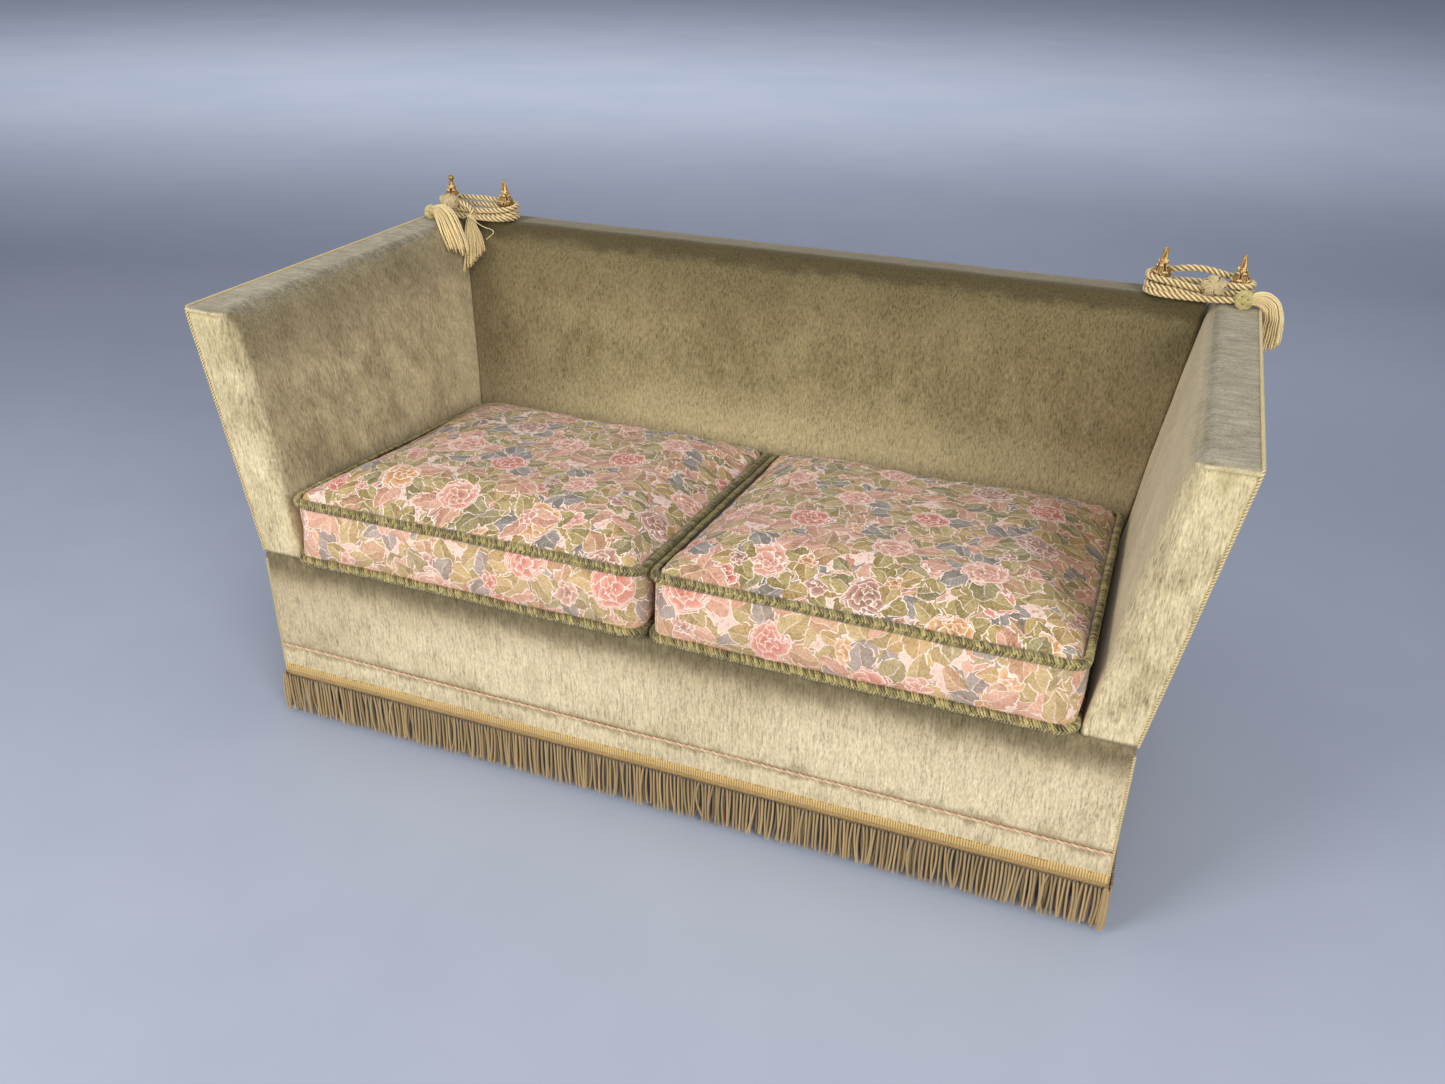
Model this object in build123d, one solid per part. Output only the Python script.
from build123d import *
import math
import os

# ----------------------------------------------------------------------------
# Two-seat knole sofa. Millimetres, X to the right, Y towards the back, Z up.
# Lengths named *_Y are measured from the front face of the base; DEPTH_SHIFT
# puts the origin at the middle of the footprint, on the floor.
# ----------------------------------------------------------------------------

# overall
TOP_Z = 813.0            # top of arms and back
BASE_HALF = 773.5        # half width of the base
ARM_TOP_HALF = 850.0     # half width over the arm tops
HINGE_Z = 354.0          # height of the arm hinge axis
HINGE_INSET = 4.5        # hinge axis inside the base side
HINGE_GAP = 4.5          # half of the gap between arm and base
ARM_T = 83.0             # arm thickness, measured level
FRONT_OVER = 26.0        # cushions stand this far proud of the base front
REAR_Y = 827.0           # rear of arms and back at the top
BASE_REAR_Y = 747.0      # rear of the base
DEPTH_SHIFT = -(REAR_Y - FRONT_OVER + 0.7) / 2

# base
COVER_T = 2.5            # velvet with its lining
BASE_BOT = 98.0          # underside of the base, hidden by the fringe
BASE_TOP = HINGE_Z - HINGE_GAP
RAIL_T = 25.4
CORD_Z = 157.8           # twisted cord across the front
CORD_R = 2.8
HEAD_TOP = 115.0         # top of the fringe heading
HEAD_BOT = 90.0
FRINGE_BOT = 7.5
FRINGE_T = 8.0
GLIDE_H = 5.0

# seat
SEAT_SLOPE = 4.5         # degrees, falls towards the back
DECK_Z0 = 363.0          # top of the seat deck at the base front
PAD_T = 22.0
HESSIAN_T = 3.0
WIRE_D = 4.0
SPRING_X = (-570, -380, -190, 0, 190, 380, 570)

# cushions
CUSH_GAP = 2.5           # half of the gap between the two cushions
CUSH_OUT = 691.0         # outer side, over the ruche
CUSH_H = 121.0           # box height without the ruche
CUSH_LEN = 644.0         # front to back, over the ruche
CROWN = 34.0             # rise of the domed top above the box
CROWN_IN = 190.0         # how much narrower the dome is at its top
RUCHE_R = 8.5
RUCHE_OFF = 1.0

# back
BACK_FRONT_Y = 646.0     # front face at the height BACK_FRONT_Z
BACK_FRONT_Z = 433.0
BACK_FRONT_K = 0.2405    # recline of the front face
BACK_BOT = 320.0
BACK_ROLL_R = 28.0       # rolled front edge of the crest
SIDE_GAP = 1.5           # between the back and each arm
BACK_REAR_K = (REAR_Y - BASE_REAR_Y) / (TOP_Z - HINGE_Z)

# finials and ties
FIN_Y = 770.0
FIN_BACK_X = 676.0
FIN_ARM_X = 809.0
NECK_R = 14.5
ROPE_D = 12.6
COIL_GAP = 0.7
COIL_H = 38.0

# hinges
LEAF_T = 1.8
KNUCKLE_R = 4.2
PIN_R = 2.0
HINGE_Y = (70.0, 330.0, 590.0)
HINGE_L = 90.0

LEAN = (ARM_TOP_HALF - BASE_HALF) / (TOP_Z - HINGE_Z)
os.makedirs("parts", exist_ok=True)


def arm_out(z):
    return BASE_HALF + (z - HINGE_Z) * LEAN


def arm_in(z):
    return arm_out(z) - ARM_T


def deck(y):
    return DECK_Z0 - math.tan(math.radians(SEAT_SLOPE)) * y


def back_front(z):
    return BACK_FRONT_Y + BACK_FRONT_K * (z - BACK_FRONT_Z)


def rear(z):
    return BASE_REAR_Y + max(0.0, z - HINGE_Z) * BACK_REAR_K


def block(x0, x1, y0, y1, z0, z1):
    return Pos((x0 + x1) / 2, (y0 + y1) / 2, (z0 + z1) / 2) * Box(x1 - x0, y1 - y0, z1 - z0)


def along_y(pts, y0, y1):
    """Solid with an (x, z) outline, from y0 to y1."""
    face = Face(Wire.make_polygon([Vector(x, y0, z) for x, z in pts]))
    return Solid.extrude(face, Vector(0, y1 - y0, 0))


def along_x(pts, x0, x1):
    """Solid with a (y, z) outline, from x0 to x1."""
    face = Face(Wire.make_polygon([Vector(x0, y, z) for y, z in pts]))
    return Solid.extrude(face, Vector(x1 - x0, 0, 0))


def rod(p, q, r):
    p, q = Vector(*p), Vector(*q)
    return Solid.make_cylinder(r, (q - p).length, Plane(origin=p, z_dir=(q - p)))


def edges_near(solid, test):
    return [e for e in solid.edges() if test(e)]


def flip(shape):
    return shape.mirror(Plane.YZ)


nodes = {}


def node(name, *shapes):
    solids = []
    for s in shapes:
        solids += list(s.solids())
    moved = [Pos(0, DEPTH_SHIFT, 0) * s for s in solids]
    nodes[name] = moved[0] if len(moved) == 1 else Compound(moved)


# ----------------------------------------------------------------------------
# Base frame
# ----------------------------------------------------------------------------
side_x1 = BASE_HALF - COVER_T
side_x0 = side_x1 - RAIL_T
rail_bot = BASE_BOT + 1.5
front_y0, front_y1 = COVER_T, COVER_T + RAIL_T
rear_y1 = BASE_REAR_Y - COVER_T
rear_y0 = rear_y1 - RAIL_T
spring_drop = COVER_T + PAD_T + HESSIAN_T + WIRE_D / 2 + 2.0
front_rail_top = deck(15) - spring_drop - 5
rear_rail_top = deck(731) - spring_drop - 5

front_rail = block(-side_x0, side_x0, front_y0, front_y1, rail_bot, front_rail_top)
rear_rail = block(-side_x0, side_x0, rear_y0, rear_y1, rail_bot, rear_rail_top)
side_rail = block(side_x0, side_x1, front_y0, rear_y1, rail_bot, BASE_TOP - COVER_T - 20)
top_board = block(arm_in(HINGE_Z) + 4.5, side_x1, front_y1, rear_y1, BASE_TOP - COVER_T - 20, BASE_TOP - COVER_T)
centre_rail = block(-15, 15, front_y1, rear_y0, rail_bot, 250)

corner = []
screws = []
for sx in (1, -1):
    for ya, sy in ((front_y1, 1), (rear_y0, -1)):
        tri = [(sx * side_x0, ya), (sx * (side_x0 - 60), ya), (sx * side_x0, ya + sy * 60)]
        face = Face(Wire.make_polygon([Vector(x, y, rail_bot) for x, y in tri]))
        corner.append(Solid.extrude(face, Vector(0, 0, 130)))
        for z in (rail_bot + 35, rail_bot + 95):
            x0, y0 = sx * (side_x0 - 22), ya + sy * 22
            shank = rod((x0, y0, z), (sx * (side_x0 + 18), y0, z), 2.2)
            head = rod((x0 - sx * 4, y0, z), (x0 + sx * 0.001, y0, z), 4.2)
            screws.append(shank + head)
for scr in screws:
    corner = [c - scr for c in corner]
side_rails = [side_rail, flip(side_rail)]
for scr in screws:
    side_rails = [r - scr for r in side_rails]

foot_pts = [(0, GLIDE_H), (17, GLIDE_H), (21, 9), (28, 30), (31, 52), (28, 70), (19, 82), (24, 86), (24, BASE_BOT), (0, BASE_BOT)]
foot = Solid.revolve(Face(Wire.make_polygon([Vector(r, 0, z) for r, z in foot_pts])), 360, Axis.Z)
glide = Solid.make_cylinder(15, GLIDE_H - 1.0, Plane(origin=(0, 0, 1.0)))
glide = Solid.make_cylinder(13, 1.0, Plane(origin=(0, 0, 0))) + glide
feet_xy = [(sx * 700, y) for sx in (1, -1) for y in (62, 682)]
feet = [Pos(x, y, 0) * foot for x, y in feet_xy]
glides = [Pos(x, y, 0) * glide for x, y in feet_xy]

# ----------------------------------------------------------------------------
# Springs: wires bent to and fro, each held by a clip at both ends
# ----------------------------------------------------------------------------


def spring_wire():
    y_a, y_b, step, half, r = 15.0, 731.0, 44.75, 26.0, 18.0
    n = int(round((y_b - y_a) / step))
    pts = []
    for i in range(n + 1):
        y = y_a + i * step
        pair = [(-half, y), (half, y)] if i % 2 == 0 else [(half, y), (-half, y)]
        pts += pair
    pts3 = [(x, y, deck(y) - spring_drop) for x, y in pts]
    path = FilletPolyline(*pts3, radius=r)
    first = path @ 0
    tangent = path % 0
    prof = Plane(origin=first, z_dir=tangent) * Circle(WIRE_D / 2)
    return sweep(prof, path=path)


one_spring = spring_wire()
springs = [Pos(x, 0, 0) * one_spring for x in SPRING_X]
clips = []
for x in SPRING_X:
    for y in (15.0, 731.0):
        z = deck(y) - spring_drop
        body = block(x - 9, x + 9, y - 6, y + 6, z - 5, z + 3.2)
        clips.append(body - rod((x - 12, y, z), (x + 12, y, z), WIRE_D / 2))

# ----------------------------------------------------------------------------
# Seat deck
# ----------------------------------------------------------------------------
DECK_HALF = arm_in(HINGE_Z) - 2.5
DECK_END = 716.0
LIP_Y = 70.0


def deck_layer(y0, y1, drop_lo, drop_hi, half):
    return along_x([(y0, deck(y0) - drop_lo), (y1, deck(y1) - drop_lo), (y1, deck(y1) - drop_hi), (y0, deck(y0) - drop_hi)], -half, half)


post_x0, post_x1 = 640.0, 680.0
notches = [block(s * post_x0 - (40 if s < 0 else 0) - 2, s * post_x0 + (40 if s > 0 else 0) + 2, 670, 740, 200, 420) for s in (1, -1)]
hess_top = COVER_T + PAD_T
deck_hessian = deck_layer(COVER_T + 3, DECK_END, hess_top + HESSIAN_T, hess_top, DECK_HALF) - notches[0] - notches[1]
deck_pad = deck_layer(COVER_T, DECK_END, hess_top, COVER_T, DECK_HALF) - notches[0] - notches[1]
deck_cover = deck_layer(LIP_Y, DECK_END, COVER_T, 0, DECK_HALF) - notches[0] - notches[1]

# ----------------------------------------------------------------------------
# Base covers
# ----------------------------------------------------------------------------
apron = block(-BASE_HALF, BASE_HALF, 0, COVER_T, CORD_Z + 1.2, BASE_TOP)
apron = apron + block(-DECK_HALF, DECK_HALF, 0, COVER_T, BASE_TOP, deck(0) - COVER_T)
apron = apron + deck_layer(0, LIP_Y, COVER_T, 0, DECK_HALF)
front_band = block(-BASE_HALF, BASE_HALF, 0, COVER_T, BASE_BOT, CORD_Z - 1.2)
flange = rod((-BASE_HALF, -0.8, CORD_Z), (BASE_HALF, -0.8, CORD_Z), CORD_R) - apron - front_band
flange = flange - block(-900, 900, 1.9, 20, CORD_Z - 10, CORD_Z + 10)
side_cover = block(BASE_HALF - COVER_T, BASE_HALF, COVER_T, rear_y1, BASE_BOT, BASE_TOP)
side_cover = side_cover + block(arm_in(HINGE_Z) + 2, BASE_HALF - COVER_T, COVER_T, rear_y1, BASE_TOP - COVER_T, BASE_TOP)
dust = block(-side_x1, side_x1, COVER_T, rear_y1, BASE_BOT, rail_bot)

corner_piping = []
for s in (1, -1):
    tube = rod((s * BASE_HALF, 0, HEAD_TOP + 1), (s * BASE_HALF, 0, BASE_TOP - 5), 3.2)
    tube = tube - block(-BASE_HALF, BASE_HALF, 0, 30, 90, BASE_TOP)
    tube = tube - rod((-BASE_HALF - 5, -0.8, CORD_Z), (BASE_HALF + 5, -0.8, CORD_Z), CORD_R + 0.05)
    corner_piping.append(tube)

heading = [
    block(-BASE_HALF - 3, BASE_HALF + 3, -3, 0, HEAD_BOT, HEAD_TOP),
    block(BASE_HALF, BASE_HALF + 3, 0, BASE_REAR_Y, HEAD_BOT, HEAD_TOP),
    block(-BASE_HALF - 3, -BASE_HALF, 0, BASE_REAR_Y, HEAD_BOT, HEAD_TOP),
    block(-BASE_HALF - 3, BASE_HALF + 3, BASE_REAR_Y, BASE_REAR_Y + 3, HEAD_BOT, HEAD_TOP),
]
fo = BASE_HALF + 1 + FRINGE_T
fringe_front = block(-fo, fo, -1 - FRINGE_T, -1, FRINGE_BOT, HEAD_BOT)
fringe_rear = block(-fo, fo, BASE_REAR_Y + 1, BASE_REAR_Y + 1 + FRINGE_T, FRINGE_BOT, HEAD_BOT)
fringe_side = block(BASE_HALF + 1, fo, -1, BASE_REAR_Y + 1, FRINGE_BOT, HEAD_BOT)

# outside back: one panel from the base bottom to the crest
z_top = TOP_Z - 5
panel = along_x([(rear_y1, BASE_BOT), (BASE_REAR_Y, BASE_BOT), (BASE_REAR_Y, HINGE_Z), (rear(z_top), z_top),
                 (rear(z_top) - COVER_T, z_top), (rear_y1, HINGE_Z)], -900, 900)
xs = arm_in(z_top) - SIDE_GAP
xb = arm_in(BASE_TOP) - SIDE_GAP
mask = along_y([(-BASE_HALF, BASE_BOT), (BASE_HALF, BASE_BOT), (BASE_HALF, BASE_TOP), (xb, BASE_TOP), (xs, z_top),
                (-xs, z_top), (-xb, BASE_TOP), (-BASE_HALF, BASE_TOP)], 600, 900)
outside_back = panel & mask

# ----------------------------------------------------------------------------
# Back
# ----------------------------------------------------------------------------


def back_body(inset, roll, open_rear):
    zb = BACK_BOT + inset
    zt = TOP_Z - inset
    k = math.hypot(1, BACK_FRONT_K)
    f0 = back_front(zb) + inset * k
    f1 = back_front(zt) + inset * k
    if open_rear:
        prof = [(f0, zb), (rear_y1, zb), (rear_y1, HINGE_Z), (rear(z_top) - COVER_T, z_top), (rear(zt) - COVER_T, zt), (f1, zt)]
    else:
        prof = [(f0, zb), (rear_y1, zb), (rear_y1, HINGE_Z), (rear(z_top) - COVER_T, z_top), (rear(z_top), z_top), (rear(zt), zt), (f1, zt)]
    body = along_x(prof, -900, 900)
    body = fillet(edges_near(body, lambda e: abs(e.center().Z - zt) < 0.01 and abs(e.center().Y - f1) < 0.01), roll)
    side = SIDE_GAP + inset
    lo, hi = arm_in(zb - 1) - side, arm_in(zt + 1) - side
    sides = along_y([(-lo, zb - 1), (lo, zb - 1), (hi, zt + 1), (-hi, zt + 1)], 500, 900)
    return body & sides


back_outer = back_body(0, BACK_ROLL_R, False)
back_inner = back_body(COVER_T, BACK_ROLL_R - COVER_T, True)
fin_hole_b = [rod((s * FIN_BACK_X, FIN_Y, TOP_Z - 35), (s * FIN_BACK_X, FIN_Y, TOP_Z + 5), 4.0) for s in (1, -1)]


def post_front(z):
    return rear_y0 - 42 + max(0.0, z - HINGE_Z) * BACK_REAR_K


post = along_x([(post_front(0), rail_bot), (rear_y0, rail_bot), (rear_y0, HINGE_Z), (post_front(762) + 42, 762),
                (post_front(762), 762), (post_front(0), HINGE_Z)], post_x0, post_x1)
top_rail = along_x([(post_front(762), 762), (post_front(762) + 42, 762), (post_front(800) + 42, 800), (post_front(800), 800)], -738, 738)
low_rail = along_x([(post_front(0), 335), (rear_y0, 335), (rear_y0, HINGE_Z), (post_front(375) + 42, 375),
                    (post_front(375), 375), (post_front(0), HINGE_Z)], -post_x0, post_x0)
top_rail = top_rail - fin_hole_b[0] - fin_hole_b[1]
back_frame = [post, flip(post), top_rail, low_rail]

straps = []
for z in (430, 520, 610, 700):
    y = post_front(z)
    dz = 25
    straps.append(along_x([(post_front(z - dz) - 4, z - dz), (post_front(z - dz) - 2, z - dz), (post_front(z + dz) - 2, z + dz),
                           (post_front(z + dz) - 4, z + dz)], -post_x1, post_x1))
for x in (-480, -240, 0, 240, 480):
    straps.append(along_x([(post_front(356) - 2, 356), (post_front(356), 356), (post_front(780), 780), (post_front(780) - 2, 780)],
                          x - 25, x + 25))

back_cover = back_outer - back_inner - fin_hole_b[0] - fin_hole_b[1] - post - flip(post)
back_pad = back_inner
for s in back_frame + straps + fin_hole_b:
    back_pad = back_pad - s

# ----------------------------------------------------------------------------
# Finials
# ----------------------------------------------------------------------------
fin_pts = [(0, -34), (4, -34), (4, 0), (15, 0), (15, 2.4), (NECK_R, 3.2), (NECK_R, 39.0), (16.2, 42), (17, 46.5), (15, 54), (9.5, 60.5),
           (6.8, 65), (5.6, 71), (5.2, 77), (2.6, 82), (0, 83)]
finial = Solid.revolve(Face(Wire.make_polygon([Vector(r, 0, z) for r, z in fin_pts])), 360, Axis.Z)
back_finials = [Pos(s * FIN_BACK_X, FIN_Y, TOP_Z) * finial for s in (1, -1)]
arm_finial = Pos(FIN_ARM_X, FIN_Y, TOP_Z) * finial
fin_hole_a = rod((FIN_ARM_X, FIN_Y, TOP_Z - 35), (FIN_ARM_X, FIN_Y, TOP_Z + 5), 4.0)

# ----------------------------------------------------------------------------
# Arm (right-hand one; the other is its mirror image)
# ----------------------------------------------------------------------------
ARM_BOT = HINGE_Z + HINGE_GAP


def arm_body(inset, r_top, r_front):
    k = math.hypot(1, LEAN)
    zb, zt = ARM_BOT + inset, TOP_Z - inset
    prof = [(arm_in(zb) + inset * k, zb), (arm_out(zb) - inset * k, zb), (arm_out(zt) - inset * k, zt), (arm_in(zt) + inset * k, zt)]
    y0 = inset
    body = along_y(prof, y0, 900)
    kr = math.hypot(1, BACK_REAR_K)
    body = body & along_x([(0, zb - 5), (rear(zb - 5) - inset * kr, zb - 5), (rear(zt + 5) - inset * kr, zt + 5), (0, zt + 5)], 600, 900)
    xt = arm_in(zt) + inset * k
    top = edges_near(body, lambda e: abs(e.center().Z - zt) < 0.01 and abs(e.center().X - xt) < 0.01)
    body = fillet(top, r_top)
    xm = arm_in((zb + zt) / 2) + inset * k
    front = edges_near(body, lambda e: abs(e.center().Y - y0) < 0.01 and abs(e.center().X - xm) < 8 and e.length > 300)
    return fillet(front, r_front)


arm_outer = arm_body(0, 16, 11)
arm_inner = arm_body(COVER_T, 16 - COVER_T, 11 - COVER_T)


def arm_bar(z0, z1, in0, out0, y0, y1):
    return along_y([(arm_in(z0) + in0, z0), (arm_out(z0) - out0, z0), (arm_out(z1) - out0, z1), (arm_in(z1) + in0, z1)], y0, y1)


ARM_FB = ARM_BOT + COVER_T
bottom_bar = arm_bar(ARM_FB, ARM_FB + 26, 12, 6, 8, rear(ARM_FB) - 12)
top_bar = arm_bar(762, 800, 12, 6, 8, rear(762) - 12)
posts = [arm_bar(ARM_FB + 26, 762, ARM_T - 34, 8, y0, y1) for y0, y1 in ((8, 53), (365, 405), (692, 735))]
top_bar = top_bar - fin_hole_a
arm_frame = [bottom_bar, top_bar] + posts
arm_cover = arm_outer - arm_inner - fin_hole_a
arm_pad = arm_inner - fin_hole_a
for s in arm_frame:
    arm_pad = arm_pad - s

pip_r = 3.2
pip_lo = ARM_BOT + 4
pip_path = FilletPolyline((arm_out(pip_lo), 0, pip_lo), (arm_out(TOP_Z), 0, TOP_Z), (arm_out(TOP_Z), REAR_Y - 1, TOP_Z), radius=7)
pip = sweep(Plane(origin=pip_path @ 0, z_dir=pip_path % 0) * Circle(pip_r), path=pip_path)
arm_piping = pip - arm_outer

# ----------------------------------------------------------------------------
# Hinges: axis along Y at the outer lower edge of the arm
# ----------------------------------------------------------------------------
hx = BASE_HALF - HINGE_INSET
fixed, moving, pins = [], [], []
for y0 in HINGE_Y:
    third = HINGE_L / 3
    cuts = [(y0, y0 + third - 0.5, False), (y0 + third, y0 + 2 * third, True), (y0 + 2 * third + 0.5, y0 + HINGE_L, False)]
    f = block(hx - 46, hx - 1, y0, y0 + HINGE_L, BASE_TOP, BASE_TOP + LEAF_T)
    m = block(hx - 46, hx - 1, y0, y0 + HINGE_L, ARM_BOT - LEAF_T, ARM_BOT)
    for ya, yb, mv in cuts:
        gap_cut = rod((hx, ya - 0.5, HINGE_Z), (hx, yb + 0.5, HINGE_Z), KNUCKLE_R + 0.4)
        knuckle = rod((hx, ya, HINGE_Z), (hx, yb, HINGE_Z), KNUCKLE_R)
        if mv:
            f = f - gap_cut
        else:
            m = m - gap_cut
    for ya, yb, mv in cuts:
        knuckle = rod((hx, ya, HINGE_Z), (hx, yb, HINGE_Z), KNUCKLE_R)
        if mv:
            m = m + knuckle
        else:
            f = f + knuckle
    f = f - rod((hx, y0 - 5, HINGE_Z), (hx, y0 + HINGE_L + 5, HINGE_Z), PIN_R)
    m = m - rod((hx, y0 - 5, HINGE_Z), (hx, y0 + HINGE_L + 5, HINGE_Z), PIN_R + 0.3)
    fixed.append(f)
    moving.append(m)
    pins.append(rod((hx, y0, HINGE_Z), (hx, y0 + HINGE_L, HINGE_Z), PIN_R))

# ----------------------------------------------------------------------------
# Seat cushions: sloped box, sewn cover, looped cord round both edges
# ----------------------------------------------------------------------------
edge = RUCHE_R + RUCHE_OFF
cw = CUSH_OUT - CUSH_GAP - 2 * edge
cd = CUSH_LEN - 2 * edge
cr = 24.0
seat_loc = Pos((CUSH_OUT + CUSH_GAP) / 2, 0, 0) * Pos(0, -FRONT_OVER + edge, deck(-FRONT_OVER) + 0.9) * Rot(-SEAT_SLOPE, 0, 0)


def crown(w, d, r, z, rise):
    # low domed top, drawn as a frustum between two rounded rectangles
    return loft([Pos(0, cd / 2, z) * RectangleRounded(w, d, r),
                 Pos(0, cd / 2, z + rise) * RectangleRounded(w - CROWN_IN, d - CROWN_IN, r + 40)])


cush_outer = extrude(Pos(0, cd / 2, 0) * RectangleRounded(cw, cd, cr), CUSH_H) + crown(cw - 8, cd - 8, cr - 4, CUSH_H, CROWN)
cush_inner = (extrude(Pos(0, cd / 2, 2) * RectangleRounded(cw - 4, cd - 4, cr - 2), CUSH_H - 4)
              + crown(cw - 14, cd - 14, cr - 7, CUSH_H - 2, CROWN))


def ruche(z):
    frame = Pos(0, cd / 2, z) * RectangleRounded(cw + 2 * RUCHE_OFF, cd + 2 * RUCHE_OFF, cr + RUCHE_OFF)
    path = frame.faces()[0].outer_wire()
    start = path @ 0
    tan = path % 0
    tube = sweep(Plane(origin=start, z_dir=tan) * Circle(RUCHE_R), path=path)
    return tube - cush_outer


cush_cover = seat_loc * (cush_outer - cush_inner)
cush_core = seat_loc * cush_inner
cush_ruches = [seat_loc * ruche(RUCHE_R), seat_loc * ruche(CUSH_H - 1.5)]

# ----------------------------------------------------------------------------
# Arm ties
# ----------------------------------------------------------------------------


def stadium(r, z0, z1):
    s = Pos(FIN_BACK_X, FIN_Y, z0) * extrude(Circle(r), z1 - z0)
    s = s + Pos(FIN_ARM_X, FIN_Y, z0) * extrude(Circle(r), z1 - z0)
    return s + block(FIN_BACK_X, FIN_ARM_X, FIN_Y - r, FIN_Y + r, z0, z1)


coil_in = NECK_R + COIL_GAP
coil_out = coil_in + ROPE_D + 0.2
coil_z0 = TOP_Z + 0.4
coil = stadium(coil_out, coil_z0, coil_z0 + COIL_H) - stadium(coil_in, coil_z0 - 1, coil_z0 + COIL_H + 1)


def tail(pts):
    runs = [math.dist(a, b) for a, b in zip(pts, pts[1:])]
    radii = []
    for i in range(1, len(pts) - 1):
        a = Vector(*pts[i]) - Vector(*pts[i - 1])
        b = Vector(*pts[i + 1]) - Vector(*pts[i])
        turn = a.get_angle(b)
        radii.append(0.45 * min(runs[i - 1], runs[i]) / math.tan(math.radians(turn / 2)))
    path = FilletPolyline(*pts, radius=radii)
    tube = sweep(Plane(origin=path @ 0, z_dir=path % 0) * Circle(ROPE_D / 2), path=path)
    area = math.pi * (ROPE_D / 2) ** 2
    print("tail runs", [round(r, 1) for r in runs], "radii", [round(r, 1) for r in radii],
          "volume", round(tube.volume), "section x length", round(area * path.length))
    return tube


def ball(x, y, z, r):
    return Pos(x, y, z) * Solid.make_sphere(r, angle1=-90, angle2=90, angle3=360)


def skirt(sections):
    faces = []
    for x, y, z, nx, ny, nz, r in sections:
        faces.append(Plane(origin=(x, y, z), x_dir=(0, 1, 0), z_dir=(nx, ny, nz)) * Circle(r))
    return loft(faces)


TAIL_R = [(690, 735.0, 820.0), (727, 734.2, 820.4), (765, 732.0, 821.6), (800, 728.0, 825.6)]
BALL_R = (821, 724, 828.8, 15)
TAIL_L = [(-760, 735.4, 820.2), (-777, 735.2, 820.4), (-794, 731.5, 821.4), (-806.5, 721.5, 823.4)]
BALL_L1 = (-820, 703, 828.8, 15)
BALL_L2 = (-722, 727.8, 824, 13.5)

ball_r, ball_l1, ball_l2 = ball(*BALL_R), ball(*BALL_L1), ball(*BALL_L2)
tail_r = tail(TAIL_R) - ball_r
tail_l = tail(TAIL_L) - ball_l1
skirt_r = skirt([(831, 725, 830, 1, 0, 0, 10.5), (849, 727, 833.4, 0.93, 0, -0.36, 14), (865.5, 729, 824, 0.5, 0, -0.86, 15.5),
                 (871.5, 731, 800, 0.05, 0, -1, 16.5), (872, 732, 768, 0, 0, -1, 18), (871, 732, 738, 0, 0, -1, 18.5)]) - ball_r
skirt_l1 = skirt([(-810, 703, 830.5, 1, 0, 0, 10.5), (-790, 704, 833.5, 0.97, 0, -0.24, 13.5), (-762, 704.5, 830, 0.72, 0, -0.69, 13.6),
                  (-745.5, 703, 806, 0.15, 0, -0.99, 14.2), (-740.5, 701, 775, 0.05, 0, -1, 15.2), (-735.5, 698, 742, 0.05, 0, -1, 16.5)]) - ball_l1
skirt_l2 = skirt([(-718, 725, 817, 0.25, 0, -0.97, 9), (-709, 719, 800, 0.25, 0, -0.97, 12), (-700.5, 709, 772, 0.1, 0, -1, 13.8),
                  (-697.5, 699, 742, 0, 0, -1, 16.5), (-700, 689, 698, 0, 0, -1, 17.5)]) - ball_l2


coil_front = FIN_Y - coil_out


def knot(x, y, z):
    # wound turban shape, flat where it lies against the coil
    n = 16
    pts = [(-22 * math.cos(math.pi * i / n), 15.5 * math.sin(math.pi * i / n)) for i in range(1, n)]
    pts = [(-22, 0)] + pts + [(22, 0)]
    face = Face(Wire.make_polygon([Vector(u, v, 0) for u, v in pts]))
    k = Solid.revolve(face, 360, Axis.X)
    return (Pos(x, y, z) * k) & block(x - 40, x + 40, y - 40, coil_front - 0.2, z - 40, z + 40)


knot_r = knot(766.5, 737.5, 845.0)
knot_l = flip(knot(797, 737.5, 846.5))

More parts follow.
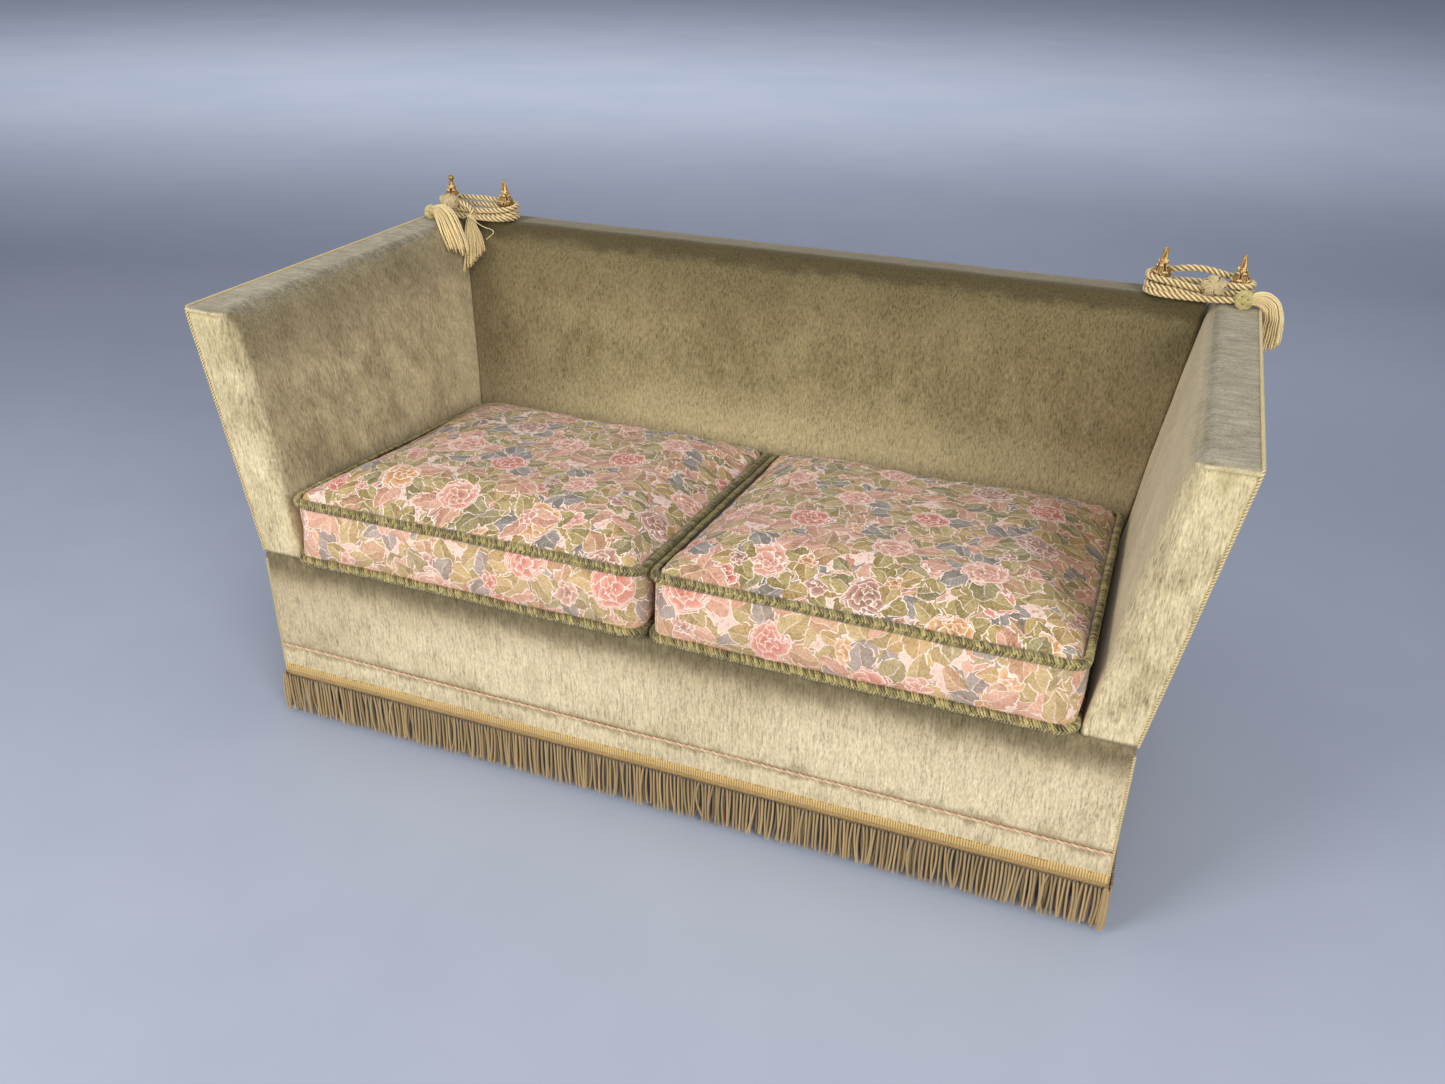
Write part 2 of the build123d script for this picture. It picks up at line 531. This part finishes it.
# ----------------------------------------------------------------------------
# Nodes
# ----------------------------------------------------------------------------
node("front_rail", front_rail)
node("rear_rail", rear_rail)
node("side_rails", *side_rails, top_board, flip(top_board))
node("centre_rail", centre_rail)
node("corner_blocks", *corner)
node("feet", *feet)
node("foot_glides", *glides)
node("frame_screws", *screws)
node("seat_springs", *springs)
node("spring_clips", *clips)
node("deck_hessian", deck_hessian)
node("deck_pad", deck_pad)
node("deck_cover", deck_cover)
node("front_apron_cover", apron)
node("front_band_cover", front_band)
node("flange_cord", flange)
node("side_cover_left", flip(side_cover))
node("side_cover_right", side_cover)
node("outside_back_cover", outside_back)
node("dust_cover", dust)
node("base_corner_piping", *corner_piping)
node("fringe_heading", *heading)
node("fringe_front", fringe_front)
node("fringe_rear", fringe_rear)
node("fringe_left", flip(fringe_side))
node("fringe_right", fringe_side)
node("back_frame", *back_frame)
node("back_webbing", *straps)
node("back_pad", back_pad)
node("back_cover", back_cover)
node("back_finials", *back_finials)
node("hinge_fixed_leaves", *fixed, *[flip(f) for f in fixed])
node("hinge_pins", *pins, *[flip(p) for p in pins])
for side, turn in (("right", lambda s: s), ("left", flip)):
    node(f"arm_{side}_frame", *[turn(s) for s in arm_frame])
    node(f"arm_{side}_pad", turn(arm_pad))
    node(f"arm_{side}_cover", turn(arm_cover))
    node(f"arm_{side}_piping", turn(arm_piping))
    node(f"arm_{side}_finial", turn(arm_finial))
    node(f"arm_{side}_hinge_leaves", *[turn(m) for m in moving])
    node(f"cushion_{side}_core", turn(cush_core))
    node(f"cushion_{side}_cover", turn(cush_cover))
    node(f"cushion_{side}_ruches", *[turn(r) for r in cush_ruches])
    node(f"tie_coil_{side}", turn(coil))
node("tie_tail_right", tail_r)
node("tie_tail_left", tail_l)
node("tie_knot_right", knot_r)
node("tie_knot_left", knot_l)
node("tassel_right", ball_r, skirt_r)
node("tassel_left_outer", ball_l1, skirt_l1)
node("tassel_left_inner", ball_l2, skirt_l2)

lo = [1e9] * 3
hi = [-1e9] * 3
for name, shape in nodes.items():
    export_step(shape, f"parts/{name}.step")
    bb = shape.bounding_box()
    for i, (a, b) in enumerate(((bb.min.X, bb.max.X), (bb.min.Y, bb.max.Y), (bb.min.Z, bb.max.Z))):
        lo[i], hi[i] = min(lo[i], a), max(hi[i], b)
print(len(nodes), "nodes, box", [round(v, 1) for v in lo], [round(v, 1) for v in hi])
